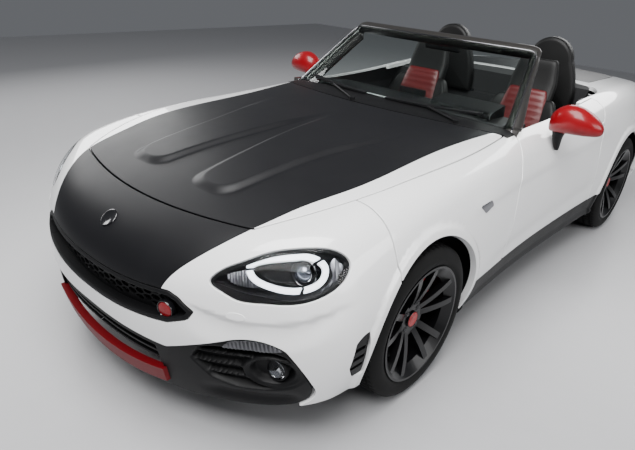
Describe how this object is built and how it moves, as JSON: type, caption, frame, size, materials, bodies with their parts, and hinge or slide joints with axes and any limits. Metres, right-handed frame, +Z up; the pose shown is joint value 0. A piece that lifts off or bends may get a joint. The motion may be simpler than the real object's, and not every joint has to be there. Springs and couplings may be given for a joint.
{
  "type": "two-seat roadster convertible car",
  "caption": "Open two-seat roadster with long bonnet, round-cornered lamps, hexagon-mesh grille, roll hoops, opening doors, bonnet and boot, steered front wheels and free-rolling wheels.",
  "frame": {"origin": "on the ground, midway between nose and tail on the centre line", "axes": "+Z up, the nose points to -Y, the car's left side is +X"},
  "size_m": [1.97, 4.0571, 1.2049],
  "materials": {
    "body_paint": "gloss",
    "matte_black_paint": "matte",
    "red_paint": "gloss",
    "black_plastic": "textured",
    "grey_frame": "satin",
    "lamp_lens": "clear",
    "tail_lens": "gloss",
    "structure": "satin",
    "screen_glass": "clear",
    "mirror_glass": "polished",
    "dash_plastic": "grained",
    "seat_leather": "grained",
    "roof_fabric": "woven",
    "wheel_black": "satin",
    "tyre_rubber": "matte",
    "brake_steel": "machined",
    "caliper_red": "gloss",
    "cast_steel": "cast",
    "engine_alloy": "cast",
    "core_alloy": "finned",
    "pipe_steel": "brushed"
  },
  "bodies": {
    "car": {"front_bumper": "body_paint", "fender_left": "body_paint", "fender_right": "body_paint", "cowl_panel": "black_plastic", "rear_body": "body_paint", "rear_bumper": "body_paint", "side_skirts": "black_plastic", "floor_pan": "structure", "firewall": "structure", "engine_bay": "structure", "rear_tub": "structure", "bumper_gills": "black_plastic", "tow_cap": "red_paint", "grille": "black_plastic", "lower_valance": "black_plastic", "front_splitter": "red_paint", "front_lamps": "lamp_lens", "tail_lamps": "tail_lens", "rear_diffuser": "black_plastic", "exhaust": "pipe_steel", "radiator": "core_alloy", "engine": "engine_alloy", "windshield_frame": "grey_frame", "windshield_glass": "screen_glass", "wipers": "black_plastic", "inner_mirror": "mirror_glass", "dashboard": "dash_plastic", "centre_console": "dash_plastic", "seat_left": "seat_leather", "seat_right": "seat_leather", "roll_hoops": "black_plastic", "folded_top": "roof_fabric", "front_subframe": "cast_steel", "rear_suspension": "cast_steel", "rear_calipers": "caliper_red"},
    "hood": {"hood": "matte_black_paint"},
    "trunk_lid": {"trunk_lid": "matte_black_paint"},
    "door_left": {"door_left": "body_paint", "mirror_left": "red_paint"},
    "door_right": {"door_right": "body_paint", "mirror_right": "red_paint"},
    "steering_wheel": {"steering_wheel": "seat_leather"},
    "knuckle_left": {"knuckle_left": "cast_steel", "caliper_left": "caliper_red"},
    "knuckle_right": {"knuckle_right": "cast_steel", "caliper_right": "caliper_red"},
    "wheel_front_left": {"wheel_front_left": "wheel_black", "tyre_front_left": "tyre_rubber", "hub_front_left": "brake_steel"},
    "wheel_front_right": {"wheel_front_right": "wheel_black", "tyre_front_right": "tyre_rubber", "hub_front_right": "brake_steel"},
    "wheel_rear_left": {"wheel_rear_left": "wheel_black", "tyre_rear_left": "tyre_rubber", "hub_rear_left": "brake_steel"},
    "wheel_rear_right": {"wheel_rear_right": "wheel_black", "tyre_rear_right": "tyre_rubber", "hub_rear_right": "brake_steel"}
  },
  "joints": [
    {"name": "steer_left", "type": "hinge", "parent": "car", "child": "knuckle_left", "pos_m": [0.655, -1.177, 0.308], "axis": [0, 0, 1], "range_deg": [-33, 33]},
    {"name": "steer_right", "type": "hinge", "parent": "car", "child": "knuckle_right", "pos_m": [-0.655, -1.177, 0.308], "axis": [0, 0, 1], "range_deg": [-33, 33]},
    {"name": "steering_wheel_turn", "type": "hinge", "parent": "car", "child": "steering_wheel", "pos_m": [0.362, 0.02, 0.72], "axis": [0, 0.9135, 0.4067], "range_deg": [-500, 500]},
    {"name": "door_left_swing", "type": "hinge", "parent": "car", "child": "door_left", "pos_m": [0.848, -0.503, 0.6], "axis": [0, 0, -1], "range_deg": [0, 62]},
    {"name": "door_right_swing", "type": "hinge", "parent": "car", "child": "door_right", "pos_m": [-0.848, -0.503, 0.6], "axis": [0, 0, 1], "range_deg": [0, 62]},
    {"name": "hood_lift", "type": "hinge", "parent": "car", "child": "hood", "pos_m": [0, -0.395, 0.912], "axis": [-1, 0, 0], "range_deg": [0, 50]},
    {"name": "trunk_lift", "type": "hinge", "parent": "car", "child": "trunk_lid", "pos_m": [0, 1.118, 0.925], "axis": [1, 0, 0], "range_deg": [0, 80]},
    {"name": "spin_front_left", "type": "hinge", "parent": "knuckle_left", "child": "wheel_front_left", "pos_m": [0.748, -1.177, 0.308], "axis": [1, 0, 0], "continuous": true},
    {"name": "spin_front_right", "type": "hinge", "parent": "knuckle_right", "child": "wheel_front_right", "pos_m": [-0.748, -1.177, 0.308], "axis": [1, 0, 0], "continuous": true},
    {"name": "spin_rear_left", "type": "hinge", "parent": "car", "child": "wheel_rear_left", "pos_m": [0.748, 1.133, 0.308], "axis": [1, 0, 0], "continuous": true},
    {"name": "spin_rear_right", "type": "hinge", "parent": "car", "child": "wheel_rear_right", "pos_m": [-0.748, 1.133, 0.308], "axis": [1, 0, 0], "continuous": true}
  ],
  "couplings": [
    {"joint": "steer_right", "follows": "steer_left", "ratio": 1},
    {"joint": "steering_wheel_turn", "follows": "steer_left", "ratio": 15}
  ]
}
